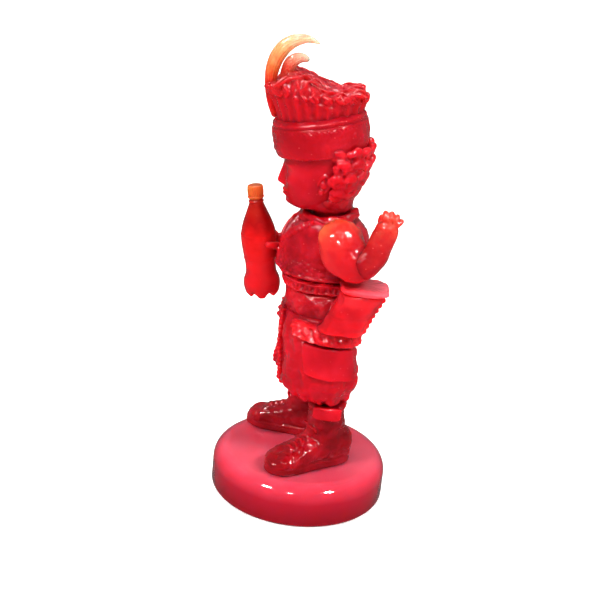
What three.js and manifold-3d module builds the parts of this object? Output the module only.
// A small cast art toy: a stylised figure in a headwrap with a plume, holding a drink bottle, standing on a round base.
// Millimetres, +Z up. The figure faces -Y, its left side is +X, and the origin is the middle of the base's underside.
import * as THREE from "three";
import { mergeVertices } from "three/addons/utils/BufferGeometryUtils.js";
import Module from "manifold-3d";

const wasm = await Module();
wasm.setup();

// ---------------------------------------------------------------- driving sizes

const fit = {
  glue: 0.15, // between two pieces that are glued face to face
  turn: 0.1, // radial play of a peg that turns in its socket
  seat: 0.1, // between the soles and the base
  swing: 0.2, // between an arm and the body beside it
};

const base = {
  radius: 12.1,
  height: 5.9,
  topRound: 2.2,
  footRound: 0.7,
  recessRadius: 9.2,
  recessDepth: 2.2,
};

const shoe = {
  soleLength: 13,
  soleWidth: 5.4,
  soleThickness: 1.3,
  height: 9.6,
  ankleBack: 2.3, // from the foot peg to the middle of the boot's shaft
  pegRadius: 1.1,
  pegLength: 2.4,
  anklePegRadius: 1.2,
  anklePegLength: 2,
};

const stance = {
  left: { x: 4.9, y: 1.1, toeOut: 32 },
  right: { x: -5.4, y: -1.8, toeOut: -14 },
};

const leg = { height: 11.45, split: 0.1, pegRadius: 1.2, pegLength: 1.8 };
const hips = { height: 3.35, spigotRadius: 3, spigotLength: 2.6 };
const belt = { height: 1.3, halfWidth: 5, halfDepth: 5.3, middleY: 0.6 };
const torso = { height: 8 };
const vest = { foot: 0.4, belowTop: 0.5, opening: 3.6, armHoleRadius: 2.3 };
const collar = { ringRadius: 3.15, radius: 0.7, tilt: 10, aboveTorso: 0.05 };
const sash = { halfWidth: 2.9, thickness: 0.8, length: 11.2, belowWaist: 3.2 };
const flap = { thickness: 0.7, low: 4.7, high: 8.6, front: -0.9, back: 5.6, inner: 4.2 };
const strap = { thickness: 0.9, low: 8.75, high: 10.9, front: -2.6 };
const tab = { width: 3.9, height: 1.9, thickness: 0.8, belowBootTop: 0.1 };
const holster = { belowShoulder: 5.05, lidHeight: 0.8, lidOverhang: 0.35, belowLegTop: 0.4 };

const neck = { y: 0.4, radius: 2.2, pinRadius: 0.9, pinLength: 4.4, chinGap: 0.6 };
const head = { height: 8.6 };
const band = { height: 5.1, tilt: 12, aboveChin: 10.3, middleY: -1.75, pegRadius: 2 };
const crest = { height: 5.8, sink: 1.9 };
const plume = { halfThickness: 1.1, secondHalfThickness: 0.8 };

const shoulder = { belowNeck: 1.6, y: 0.9, pinRadius: 0.9, pinInner: 2.1, pinOuter: 6.6, bodyHalfWidth: 4.75 };
const bottle = { x: -2, y: -8.5, tilt: 8.8, middle: -3.65, height: 15.3, capRadius: 1.05, capHeight: 2.1 };

// ---------------------------------------------------------------- levels, from the base up

const deck = base.height;
const soleLevel = deck + fit.seat;
const bootTop = soleLevel + shoe.height;
const hem = bootTop + fit.glue;
const legTop = hem + leg.height;
const hipsLow = legTop + fit.glue;
const waist = hipsLow + hips.height;
const beltLow = waist + fit.glue;
const torsoLow = beltLow + belt.height + fit.glue;
const torsoTop = torsoLow + torso.height;
const chin = torsoTop + neck.chinGap;
const bandMiddle = chin + band.aboveChin;
const shoulderLevel = torsoTop - shoulder.belowNeck;
const vestHeight = torso.height - vest.foot - vest.belowTop;
const holsterLow = legTop - holster.belowLegTop;
const holsterHeight = shoulderLevel - holster.belowShoulder - holster.lidHeight - fit.glue - holsterLow;

// ---------------------------------------------------------------- section tables
// Each row is [share of the height, half width along X, half depth along Y, middle X, middle Y].

const bootSections = [
  [0, 2.25, 5.3, 0, 0],
  [0.2, 2.3, 5.2, 0, 0.1],
  [0.42, 2.2, 4, 0, 1.2],
  [0.62, 2.1, 2.9, 0, 2.2],
  [0.82, 2.3, 2.6, 0, 2.35],
  [1, 2.4, 2.5, 0, 2.3],
];

const legSections = [
  [0, 2.6, 2.7, 4.5, 1.6],
  [0.1, 3.9, 3.9, 4.3, 1.1],
  [0.3, 4.6, 5, 4.1, 1.1],
  [0.55, 4.4, 4.9, 3.7, 0.9],
  [0.8, 3.9, 4.6, 3.3, 0.7],
  [1, 3.3, 4.3, 2.9, 0.6],
];

const hipsSections = [
  [0, 5.6, 4.7, 0, 0.6],
  [0.5, 5.4, 4.9, 0, 0.6],
  [1, 4.7, 4.7, 0, 0.6],
];

const torsoSections = [
  [0, 3.9, 4.5, 0, 0.4],
  [0.15, 4.2, 5.5, 0, 0.1],
  [0.35, 4.2, 5.3, 0, 0.1],
  [0.6, 4.1, 4.7, 0, 0.1],
  [0.85, 3.9, 3.9, 0, 0.3],
  [1, 3.4, 3, 0, 0.4],
];

const vestSections = [
  [0, 4.75, 6.1, 0, 0.8],
  [0.3, 4.75, 6, 0, 0.6],
  [0.6, 4.7, 5.5, 0, 0.5],
  [0.85, 4.5, 4.8, 0, 0.45],
  [1, 4.1, 3.9, 0, 0.5],
];

const headSections = [
  [0, 1.7, 2, 0, -2],
  [0.12, 3.3, 3.3, 0, -1.7],
  [0.32, 4.4, 4.3, 0, -1.4],
  [0.58, 5, 4.85, 0, -1.15],
  [0.8, 5.1, 4.95, 0, -1.1],
  [1, 5.1, 4.95, 0, -1.1],
];

const hairSections = [
  [0, 3.4, 3, 0, 0.4],
  [0.2, 4.4, 3.3, 0, 0.3],
  [0.45, 5.2, 4.3, 0, 0.25],
  [0.75, 5.5, 4.8, 0, 0.2],
  [1, 5.3, 4.8, 0, 0],
];

const bandSections = [
  [0, 5.6, 5.8, 0, 0],
  [0.2, 6, 6.2, 0, 0],
  [0.55, 6.15, 6.35, 0, 0],
  [0.85, 5.9, 6.15, 0, 0],
  [1, 5.4, 5.7, 0, 0],
];

const crestSections = [
  [0, 4.9, 5.4, 0, -2],
  [0.35, 5, 5.9, 0, -2.4],
  [0.7, 4.9, 6.7, 0, -2.85],
  [0.9, 4.6, 6.8, 0, -2.95],
  [1, 4, 6.4, 0, -3],
];

const holsterSections = [
  [0, 2.2, 2.8, 6, 3.5],
  [0.5, 2.4, 2.8, 6.5, 4.7],
  [0.85, 2.6, 2.8, 6.9, 5.6],
  [1, 2.7, 2.9, 7, 5.9],
];

// ---------------------------------------------------------------- shaping tools

/** A three.js geometry as a manifold-3d solid. */
function solid(geometry) {
  const bare = geometry.clone();
  bare.deleteAttribute("normal");
  bare.deleteAttribute("uv");
  const merged = mergeVertices(bare, 1e-4);
  return new wasm.Manifold(
    new wasm.Mesh({
      numProp: 3,
      vertProperties: merged.attributes.position.array,
      triVerts: new Uint32Array(merged.index.array),
    }),
  );
}

/** A manifold-3d solid as a three.js geometry. */
function geometryOf(body) {
  const made = body.getMesh();
  const geometry = new THREE.BufferGeometry();
  geometry.setAttribute("position", new THREE.BufferAttribute(made.vertProperties, 3));
  geometry.setIndex(new THREE.BufferAttribute(made.triVerts, 1));
  geometry.computeVertexNormals();
  return geometry;
}

/** Moves each vertex of a geometry to where place(vertex) says. */
function reshape(geometry, place) {
  const positions = geometry.attributes.position;
  const vertex = new THREE.Vector3();
  for (let i = 0; i < positions.count; i++) {
    place(vertex.fromBufferAttribute(positions, i));
    positions.setXYZ(i, vertex.x, vertex.y, vertex.z);
  }
  return geometry;
}

/** A profile of [radius, height] points, turned about Z. */
function turned(points, around = 32) {
  const profile = points.map(([r, z]) => new THREE.Vector2(r, z));
  return new THREE.LatheGeometry(profile, around).rotateX(Math.PI / 2);
}

/** An upright cylinder of the radius, from low to high. */
function rod(radius, low, high, x = 0, y = 0, around = 16) {
  return new THREE.CylinderGeometry(radius, radius, high - low, around)
    .rotateX(Math.PI / 2)
    .translate(x, y, (low + high) / 2);
}

/** A cylinder along X. */
function crossRod(radius, from, to, y, z, around = 16) {
  return new THREE.CylinderGeometry(radius, radius, Math.abs(to - from), around)
    .rotateZ(Math.PI / 2)
    .translate((from + to) / 2, y, z);
}

/** A box between two corners. */
function block([x0, y0, z0], [x1, y1, z1]) {
  return new THREE.BoxGeometry(x1 - x0, y1 - y0, z1 - z0).translate((x0 + x1) / 2, (y0 + y1) / 2, (z0 + z1) / 2);
}

/** An elliptical column through a section table; grow swells it all round, to cut clearance for it. */
function column(sections, low, height, { grow = 0, around = 24, rings = 10, mirror = 1 } = {}) {
  const middles = new THREE.CatmullRomCurve3(sections.map(([share, , , x, y]) => new THREE.Vector3(x, y, share)));
  const halves = new THREE.CatmullRomCurve3(sections.map(([, a, b]) => new THREE.Vector3(a, b, 0)));
  return reshape(new THREE.CylinderGeometry(1, 1, 1, around, rings).rotateX(Math.PI / 2), (v) => {
    const share = v.z + 0.5;
    const middle = middles.getPoint(share);
    const half = halves.getPoint(share);
    const end = (share < 1e-6 ? -grow : 0) + (share > 1 - 1e-6 ? grow : 0);
    v.x = mirror * middle.x + v.x * (half.x + grow);
    v.y = middle.y + v.y * (half.y + grow);
    v.z = low + middle.z * height + end;
  });
}

/** A round-ended limb along a path, with a radius at each of its points. */
function limb(points, radii, { grow = 0, around = 16, rings = 14 } = {}) {
  const path = new THREE.CatmullRomCurve3(points.map((p) => new THREE.Vector3(...p)));
  const sizes = new THREE.CatmullRomCurve3(radii.map((r) => new THREE.Vector3(r, 0, 0)));
  const frames = path.computeFrenetFrames(rings);
  return reshape(new THREE.SphereGeometry(1, around, rings), (v) => {
    const share = Math.acos(THREE.MathUtils.clamp(v.y, -1, 1)) / Math.PI;
    const ring = Math.round(share * rings);
    const swell = Math.sqrt(Math.max(1e-9, Math.hypot(v.x, v.z)));
    const radius = (sizes.getPoint(share).x + grow) / swell;
    const across = frames.normals[ring].clone().multiplyScalar(v.x * radius);
    across.addScaledVector(frames.binormals[ring], v.z * radius);
    const tip = frames.tangents[ring].clone().multiplyScalar(ring === 0 ? -grow : ring === rings ? grow : 0);
    v.copy(path.getPoint(share)).add(across).add(tip);
  });
}

/** A flat outline of [y, z] points joined by a smooth curve, cut from a plate that spans +-half along X. */
function plate(outline, half) {
  const curve = new THREE.SplineCurve(outline.map(([y, z]) => new THREE.Vector2(y, z)));
  const shape = new THREE.Shape(curve.getPoints(outline.length * 3));
  const sheet = new THREE.ExtrudeGeometry(shape, { depth: 2 * half, bevelEnabled: false, curveSegments: 1 });
  return reshape(sheet, (v) => v.set(v.z - half, v.x, v.y));
}

// ---------------------------------------------------------------- the assembly

const figurine = new THREE.Group();

const clearRed = { color: 0xc8101c, roughness: 0.18, metalness: 0 };
const paleRed = { color: 0xe2303a, roughness: 0.2, metalness: 0 };
const amber = { color: 0xf59a5a, roughness: 0.2, metalness: 0 };
const baseRed = { color: 0xc42038, roughness: 0.12, metalness: 0 };

/** Adds a solid to the assembly as a named mesh. */
function add(name, body, finish, parent = figurine) {
  const mesh = new THREE.Mesh(geometryOf(body), new THREE.MeshStandardMaterial(finish));
  mesh.name = name;
  parent.add(mesh);
  return mesh;
}

/** The world place of a point given in a foot's own frame. */
function onFoot({ x, y, toeOut }, back) {
  const turn = THREE.MathUtils.degToRad(toeOut);
  return { x: x - back * Math.sin(turn), y: y + back * Math.cos(turn) };
}

// ---------------------------------------------------------------- base

function baseDisc() {
  const edge = new THREE.Path();
  edge.moveTo(0, base.recessDepth);
  edge.lineTo(base.recessRadius, base.recessDepth);
  edge.lineTo(base.recessRadius, 0);
  edge.lineTo(base.radius - base.footRound, 0);
  edge.absarc(base.radius - base.footRound, base.footRound, base.footRound, -Math.PI / 2, 0);
  edge.absarc(base.radius - base.topRound, base.height - base.topRound, base.topRound, 0, Math.PI / 2);
  edge.lineTo(0, base.height);
  const profile = edge.getPoints(4).map((p) => [p.x, p.y]);
  let disc = solid(turned(profile, 40));
  for (const foot of [stance.left, stance.right]) {
    const socket = rod(shoe.pegRadius + fit.turn, deck - shoe.pegLength - fit.seat, deck + 1, foot.x, foot.y);
    disc = disc.subtract(solid(socket));
  }
  return disc;
}

// ---------------------------------------------------------------- shoes

/** One ankle boot in its own frame: toe along -Y, foot peg on the Z axis, underside at z = 0. */
function bootSolid() {
  const toe = -shoe.soleLength / 2;
  const half = shoe.soleWidth / 2;
  const heelHalf = half * 0.88;
  const outline = new THREE.Shape();
  outline.moveTo(-half, toe + half * 0.8);
  outline.bezierCurveTo(-half, toe - 0.2, half, toe - 0.2, half, toe + half * 0.8);
  outline.lineTo(heelHalf, -toe - heelHalf * 0.7);
  outline.bezierCurveTo(heelHalf, -toe + 0.2, -heelHalf, -toe + 0.2, -heelHalf, -toe - heelHalf * 0.7);
  const sole = new THREE.ExtrudeGeometry(outline, { depth: shoe.soleThickness, bevelEnabled: false, curveSegments: 8 });
  const upperLow = shoe.soleThickness / 2;
  const upper = column(bootSections, upperLow, shoe.height - upperLow, { around: 20, rings: 9 });
  const footPeg = rod(shoe.pegRadius, -shoe.pegLength, shoe.soleThickness / 2);
  const ankleHigh = shoe.height + shoe.anklePegLength;
  const anklePeg = rod(shoe.anklePegRadius, shoe.height - 1, ankleHigh, 0, shoe.ankleBack);
  return [upper, footPeg, anklePeg].reduce((whole, piece) => whole.add(solid(piece)), solid(sole));
}

function addBoots() {
  const boot = bootSolid();
  for (const side of ["left", "right"]) {
    const foot = stance[side];
    const place = new THREE.Group();
    place.position.set(foot.x, foot.y, soleLevel);
    place.rotation.z = THREE.MathUtils.degToRad(foot.toeOut);
    figurine.add(place);
    add(side + "_boot", boot, clearRed, place);
  }
}

// ---------------------------------------------------------------- breeches

const legMiddle = legSections[legSections.length - 1];

/** The balloon of one leg; side is 1 for the left leg and -1 for the right one. */
function legShape(side, grow = 0) {
  const ankle = onFoot(side > 0 ? stance.left : stance.right, shoe.ankleBack);
  const plain = legSections[0];
  const shift = (ankle.y - plain[4]) * 0.6;
  const balloon = column(legSections, hem, leg.height, { grow, mirror: side, around: 26, rings: 9 });
  return reshape(balloon, (v) => {
    const share = THREE.MathUtils.clamp((v.z - hem) / leg.height, 0, 1);
    const low = (1 - share) ** 2;
    v.x += side * low * (Math.abs(ankle.x) - plain[3]);
    v.y += low * shift;
  });
}

function legSolid(side) {
  const ankle = onFoot(side > 0 ? stance.left : stance.right, shoe.ankleBack);
  const reach = 40;
  const inner = side * leg.split;
  const half = side > 0 ? block([inner, -reach, 0], [reach, reach, reach]) : block([-reach, -reach, 0], [inner, reach, reach]);
  const ankleSocket = rod(shoe.anklePegRadius + fit.glue, hem - 1, bootTop + shoe.anklePegLength + fit.glue, ankle.x, ankle.y);
  const hipSocket = rod(leg.pegRadius + fit.glue, legTop - leg.pegLength - fit.glue, legTop + 1, side * legMiddle[3], legMiddle[4]);
  return solid(legShape(side)).intersect(solid(half)).subtract(solid(ankleSocket)).subtract(solid(hipSocket));
}

function hipsSolid() {
  let body = solid(column(hipsSections, hipsLow, hips.height, { rings: 5 }));
  const spigotTop = waist + hips.spigotLength;
  body = body.add(solid(rod(hips.spigotRadius, waist - 1, spigotTop, 0, belt.middleY, 20)));
  for (const side of [1, -1]) {
    const peg = rod(leg.pegRadius, legTop - leg.pegLength, hipsLow + 1, side * legMiddle[3], legMiddle[4]);
    body = body.add(solid(peg));
  }
  return body;
}

function beltSolid() {
  const rows = [0, 0.3, 0.7, 1].map((share) => {
    const ease = 0.35 * Math.abs(2 * share - 1);
    return [share, belt.halfWidth - ease, belt.halfDepth - ease, 0, belt.middleY];
  });
  const hole = rod(hips.spigotRadius + fit.glue, beltLow - 1, beltLow + belt.height + 1, 0, belt.middleY, 20);
  return solid(column(rows, beltLow, belt.height, { rings: 3 })).subtract(solid(hole));
}

/** The slice of a shell that hugs a leg between two heights, cut to a window. */
function legWrap(thickness, [x0, y0, z0], [x1, y1, z1]) {
  const outer = solid(legShape(1, fit.glue + thickness));
  const inner = solid(legShape(1, fit.glue));
  return outer.subtract(inner).intersect(solid(block([x0, y0, z0], [x1, y1, z1])));
}

function thighStrapSolid() {
  const ring = legWrap(strap.thickness, [0.5, strap.front, hem + strap.low], [20, 20, hem + strap.high]);
  return ring.subtract(solid(holsterShape(fit.glue)));
}

/** The tab that closes the left boot, on the outer side of its shaft. */
function bootTabSolid() {
  const ankle = onFoot(stance.left, shoe.ankleBack);
  const high = bootTop - tab.belowBootTop;
  const half = tab.width / 2;
  const slab = block([ankle.x, ankle.y - half, high - tab.height], [ankle.x + 6, ankle.y + half, high]);
  const around = (grow) => {
    const shape = column(bootSections, shoe.soleThickness / 2, shoe.height - shoe.soleThickness / 2, { grow, around: 20, rings: 9 });
    shape.rotateZ(THREE.MathUtils.degToRad(stance.left.toeOut)).translate(stance.left.x, stance.left.y, soleLevel);
    return solid(shape);
  };
  return around(fit.glue + tab.thickness).subtract(around(fit.glue)).intersect(solid(slab));
}

function sashSolid() {
  const top = waist - sash.belowWaist;
  const low = top - sash.length;
  const reach = 12;
  const front = solid(block([-sash.halfWidth, -reach, low], [sash.halfWidth, 0, top]));
  const swell = fit.glue + sash.thickness;
  const both = (grow) =>
    solid(legShape(1, grow))
      .add(solid(legShape(-1, grow)))
      .add(solid(column(hipsSections, hipsLow, hips.height, { grow, rings: 5 })))
      .add(solid(block([-2, -3.6 - grow, low - 2], [2, 0, legTop + 1])));
  return both(swell).subtract(both(fit.glue)).intersect(front);
}

// ---------------------------------------------------------------- torso

const waistSocket = () => rod(hips.spigotRadius + fit.glue, torsoLow - 1, waist + hips.spigotLength + fit.glue, 0, belt.middleY, 20);

function shoulderBore(play) {
  return crossRod(shoulder.pinRadius + play, -shoulder.pinOuter, shoulder.pinOuter, shoulder.y, shoulderLevel);
}

function neckBore(play) {
  const half = neck.pinLength / 2 + play;
  return rod(neck.pinRadius + play, torsoTop - half, torsoTop + half, 0, neck.y);
}

function torsoSolid() {
  const inner = shoulder.pinInner - fit.glue;
  let body = solid(column(torsoSections, torsoLow, torso.height));
  for (const side of [1, -1]) {
    const bore = crossRod(shoulder.pinRadius + fit.glue, side * inner, side * 8, shoulder.y, shoulderLevel);
    body = body.subtract(solid(bore));
  }
  return body.subtract(solid(waistSocket())).subtract(solid(neckBore(fit.glue)));
}

function vestSolid() {
  const low = torsoLow + vest.foot;
  const outer = solid(column(vestSections, low, vestHeight));
  const inner = solid(column(torsoSections, torsoLow, torso.height, { grow: fit.glue }));
  const open = solid(block([-vest.opening / 2, -20, low - 1], [vest.opening / 2, 0, torsoTop + 1]));
  const armHole = solid(crossRod(vest.armHoleRadius, -20, 20, shoulder.y, shoulderLevel + 0.4, 20));
  return outer.subtract(inner).subtract(open).subtract(armHole);
}

function collarSolid() {
  const ring = new THREE.TorusGeometry(collar.ringRadius, collar.radius, 8, 28);
  ring.rotateX(THREE.MathUtils.degToRad(collar.tilt)).translate(0, neck.y, torsoTop + collar.aboveTorso);
  const torsoCut = solid(column(torsoSections, torsoLow, torso.height, { grow: fit.glue }));
  const vestCut = solid(column(vestSections, torsoLow + vest.foot, vestHeight, { grow: fit.glue }));
  return solid(ring).subtract(torsoCut).subtract(vestCut);
}

// ---------------------------------------------------------------- holster on the left hip

function holsterCutters() {
  return [
    column(hipsSections, hipsLow, hips.height, { grow: fit.glue, rings: 5 }),
    column(vestSections, torsoLow + vest.foot, vestHeight, { grow: fit.glue }),
    column([[0, belt.halfWidth, belt.halfDepth, 0, belt.middleY], [1, belt.halfWidth, belt.halfDepth, 0, belt.middleY]],
      beltLow - 0.5, belt.height + 1, { grow: fit.glue, rings: 1 }),
    legShape(1, fit.glue),
    legShape(1, fit.glue).translate(0, 0, 0.01),
  ].map(solid);
}

function holsterShape(grow = 0) {
  return column(holsterSections, holsterLow, holsterHeight, { grow, around: 20, rings: 6 });
}

function holsterSolid() {
  const whole = solid(holsterShape());
  return holsterCutters().reduce((left, cutter) => left.subtract(cutter), whole);
}

function holsterLidSolid() {
  const [, halfWidth, halfDepth, x, y] = holsterSections[holsterSections.length - 1];
  const low = holsterLow + holsterHeight + fit.glue;
  const rows = [0, 1].map((share) => {
    const size = holster.lidOverhang * (1 - 0.6 * share);
    return [share, halfWidth + size, halfDepth + size, x, y];
  });
  const whole = solid(column(rows, low, holster.lidHeight, { around: 20, rings: 1 }));
  return holsterCutters().reduce((left, cutter) => left.subtract(cutter), whole);
}

// ---------------------------------------------------------------- head

function bandShape(grow = 0) {
  return column(bandSections, -band.height / 2, band.height, { grow, around: 28, rings: 6 })
    .rotateX(THREE.MathUtils.degToRad(band.tilt))
    .translate(0, band.middleY, bandMiddle);
}

function bandPeg(play, low, high) {
  return rod(band.pegRadius + play, bandMiddle + low, bandMiddle + high, 0, band.middleY, 20);
}

function headSolid() {
  const skull = solid(column(headSections, chin, head.height, { rings: 8 }));
  const stub = solid(rod(neck.radius, torsoTop + fit.seat, chin + 3, 0, neck.y, 20));
  const nose = new THREE.SphereGeometry(0.8, 10, 8).scale(0.8, 1.1, 0.9).translate(0, -6.1, chin + 4.4);
  return skull
    .subtract(solid(bandShape(fit.glue)))
    .add(solid(bandPeg(0, -band.height / 2 - 1, 0)))
    .add(stub)
    .add(solid(nose))
    .subtract(solid(neckBore(fit.turn)));
}

function hairSolid() {
  const low = chin + 1.1;
  const mass = solid(column(hairSections, low, head.height - 0.4, { rings: 8 }));
  const rear = solid(block([-9, 0.6, low - 1], [9, 9, low + 12]));
  return mass
    .intersect(rear)
    .subtract(solid(column(headSections, chin, head.height, { grow: fit.glue, rings: 8 })))
    .subtract(solid(rod(neck.radius + fit.glue, low - 1, chin + 3 + fit.glue, 0, neck.y, 20)))
    .subtract(solid(bandShape(fit.glue)));
}

function bandSolid() {
  return solid(bandShape()).subtract(solid(bandPeg(fit.glue, -band.height, band.height)));
}

const crestLow = bandMiddle + band.height / 2 - crest.sink;
const crestTop = crestLow + crest.height;

function crestSolid() {
  const mass = solid(column(crestSections, crestLow, crest.height, { around: 28, rings: 7 }));
  return mass.subtract(solid(bandShape(fit.glue))).add(solid(bandPeg(0, fit.glue, band.height / 2 + 1)));
}

/** A feather that rises from the crest's front edge and curls back over it. */
function plumeSolid(outline, half) {
  const body = solid(plate(outline.map(([y, z]) => [y, crestTop + z]), half));
  return body.subtract(solid(column(crestSections, crestLow, crest.height, { grow: fit.glue, around: 28, rings: 7 })));
}

const tallPlume = [
  [-9.2, -0.7], [-9.6, 1], [-9.4, 2.8], [-8.4, 4.4], [-6.8, 5.4], [-5, 5.55], [-3.7, 5.1], [-3, 4.6],
  [-4.3, 4.6], [-5.5, 4.4], [-6.7, 3.7], [-7.5, 2.6], [-7.7, 1.5], [-7.7, 0.3], [-7.8, -0.7], [-9.2, -0.7],
];

const shortPlume = [
  [-7.3, -0.7], [-7.3, 1], [-6.8, 2.3], [-5.9, 3.1], [-4.9, 3.2], [-4.1, 2.7],
  [-4.5, 2], [-4.7, 1.4], [-4.3, 0.9], [-3.4, 0.4], [-3.2, -0.7], [-7.3, -0.7],
];

// ---------------------------------------------------------------- arms and bottle

const leftSleeve = {
  path: [[5.7, 1.3, 3], [6.6, 1.5, 0.9], [7.4, 2.7, -1.6], [7.8, 4.1, -2.9]],
  radii: [2.2, 2.85, 2.9, 2.2],
};
const leftForearm = {
  path: [[7.9, 4.3, -2.9], [8.2, 6, -1.6], [8.3, 7, 0.6], [8.2, 7.6, 2.6], [8.1, 7.8, 4.3]],
  radii: [1.9, 2.1, 1.7, 1.75, 1.2],
};
const rightSleeve = {
  path: [[-5.7, 0.9, 3], [-6.6, 0.9, 0.9], [-7.2, 0.4, -1.8], [-7.3, -0.5, -4]],
  radii: [2.2, 2.75, 2.7, 2],
};
const rightForearm = {
  path: [[-7.2, -1, -4.6], [-6.2, -3.6, -4.7], [-4.6, -6, -4.3], [-3.3, -7.6, -3.7]],
  radii: [1.6, 1.8, 1.6, 1.3],
};

/** A limb's path with its heights measured from the shoulder. */
const fromShoulder = (path) => path.map(([x, y, z]) => [x, y, shoulderLevel + z]);

function limbShape({ path, radii }, grow = 0) {
  return limb(fromShoulder(path), radii, { grow });
}

function sleeveSolid(arm, side) {
  const bore = crossRod(shoulder.pinRadius + fit.turn, side * 2, side * (shoulder.pinOuter + fit.turn), shoulder.y, shoulderLevel);
  const inner = shoulder.bodyHalfWidth + fit.swing;
  const body = block([-inner, -20, 0], [inner, 20, 80]);
  return solid(limbShape(arm)).subtract(solid(bore)).subtract(solid(body));
}

function shoulderPinSolid(side) {
  return solid(crossRod(shoulder.pinRadius, side * shoulder.pinInner, side * shoulder.pinOuter, shoulder.y, shoulderLevel));
}

// [share of the height, radius] up the bottle, to its neck.
const bottleProfile = [
  [0, 1.5], [0.03, 2.1], [0.08, 2.4], [0.15, 2.45], [0.22, 2.05], [0.3, 2.05],
  [0.45, 2.3], [0.55, 2.4], [0.62, 2.25], [0.75, 1.6], [0.85, 0.95], [0.88, 0.85],
];

function bottleShape(grow = 0) {
  const points = bottleProfile.map(([share, r]) => [r + grow, share * bottle.height]);
  const top = points[points.length - 1][1];
  return standOnBottleAxis(turned([[0, -grow], [points[0][0], -grow], ...points.slice(1), [0, top]], 20));
}

/** Tilts a shape made upright about Z onto the bottle's own axis. */
function standOnBottleAxis(geometry) {
  const lean = THREE.MathUtils.degToRad(bottle.tilt);
  return geometry
    .translate(0, 0, -bottle.height / 2)
    .rotateX(lean)
    .translate(bottle.x, bottle.y, shoulderLevel + bottle.middle);
}

function bottleCapSolid() {
  const low = bottleProfile[bottleProfile.length - 1][0] * bottle.height + fit.glue;
  const rim = bottle.capRadius;
  const top = low + bottle.capHeight - fit.glue;
  return solid(standOnBottleAxis(turned([[0, low], [rim, low], [rim, top - 0.2], [rim - 0.2, top], [0, top]], 20)));
}

function rightHandSolid() {
  const palm = new THREE.SphereGeometry(1, 16, 12).scale(2.9, 2.5, 1.7).translate(-3.1, -8, shoulderLevel - 3.6);
  return solid(palm)
    .add(solid(limbShape(rightForearm)))
    .subtract(solid(bottleShape(fit.glue)))
    .subtract(solid(limbShape(rightSleeve, fit.glue)));
}

function leftForearmSolid() {
  return solid(limbShape(leftForearm)).subtract(solid(limbShape(leftSleeve, fit.glue)));
}

// ---------------------------------------------------------------- putting it together

add("base_disc", baseDisc(), baseRed);
addBoots();
add("left_leg", legSolid(1), clearRed);
add("right_leg", legSolid(-1), clearRed);
add("hips", hipsSolid(), clearRed);
add("belt", beltSolid(), clearRed);
add("front_sash", sashSolid(), clearRed);
add("thigh_flap", legWrap(flap.thickness, [flap.inner, flap.front, hem + flap.low], [20, flap.back, hem + flap.high]), paleRed);
add("thigh_strap", thighStrapSolid(), paleRed);
add("boot_tab", bootTabSolid(), paleRed);
add("holster", holsterSolid(), paleRed);
add("holster_lid", holsterLidSolid(), paleRed);
add("torso", torsoSolid(), clearRed);
add("vest", vestSolid(), clearRed);
add("collar", collarSolid(), clearRed);
add("neck_pin", solid(neckBore(0)), clearRed);
add("left_shoulder_pin", shoulderPinSolid(1), clearRed);
add("right_shoulder_pin", shoulderPinSolid(-1), clearRed);
add("head", headSolid(), clearRed);
add("back_hair", hairSolid(), clearRed);
add("headband", bandSolid(), clearRed);
add("crest", crestSolid(), clearRed);
add("tall_plume", plumeSolid(tallPlume, plume.halfThickness), amber);
add("short_plume", plumeSolid(shortPlume, plume.secondHalfThickness), amber);
add("left_sleeve", sleeveSolid(leftSleeve, 1), paleRed);
add("left_forearm", leftForearmSolid(), paleRed);
add("right_sleeve", sleeveSolid(rightSleeve, -1), paleRed);
add("right_forearm", rightHandSolid(), paleRed);
add("bottle", solid(bottleShape()), paleRed);
add("bottle_cap", bottleCapSolid(), amber);

export default figurine;
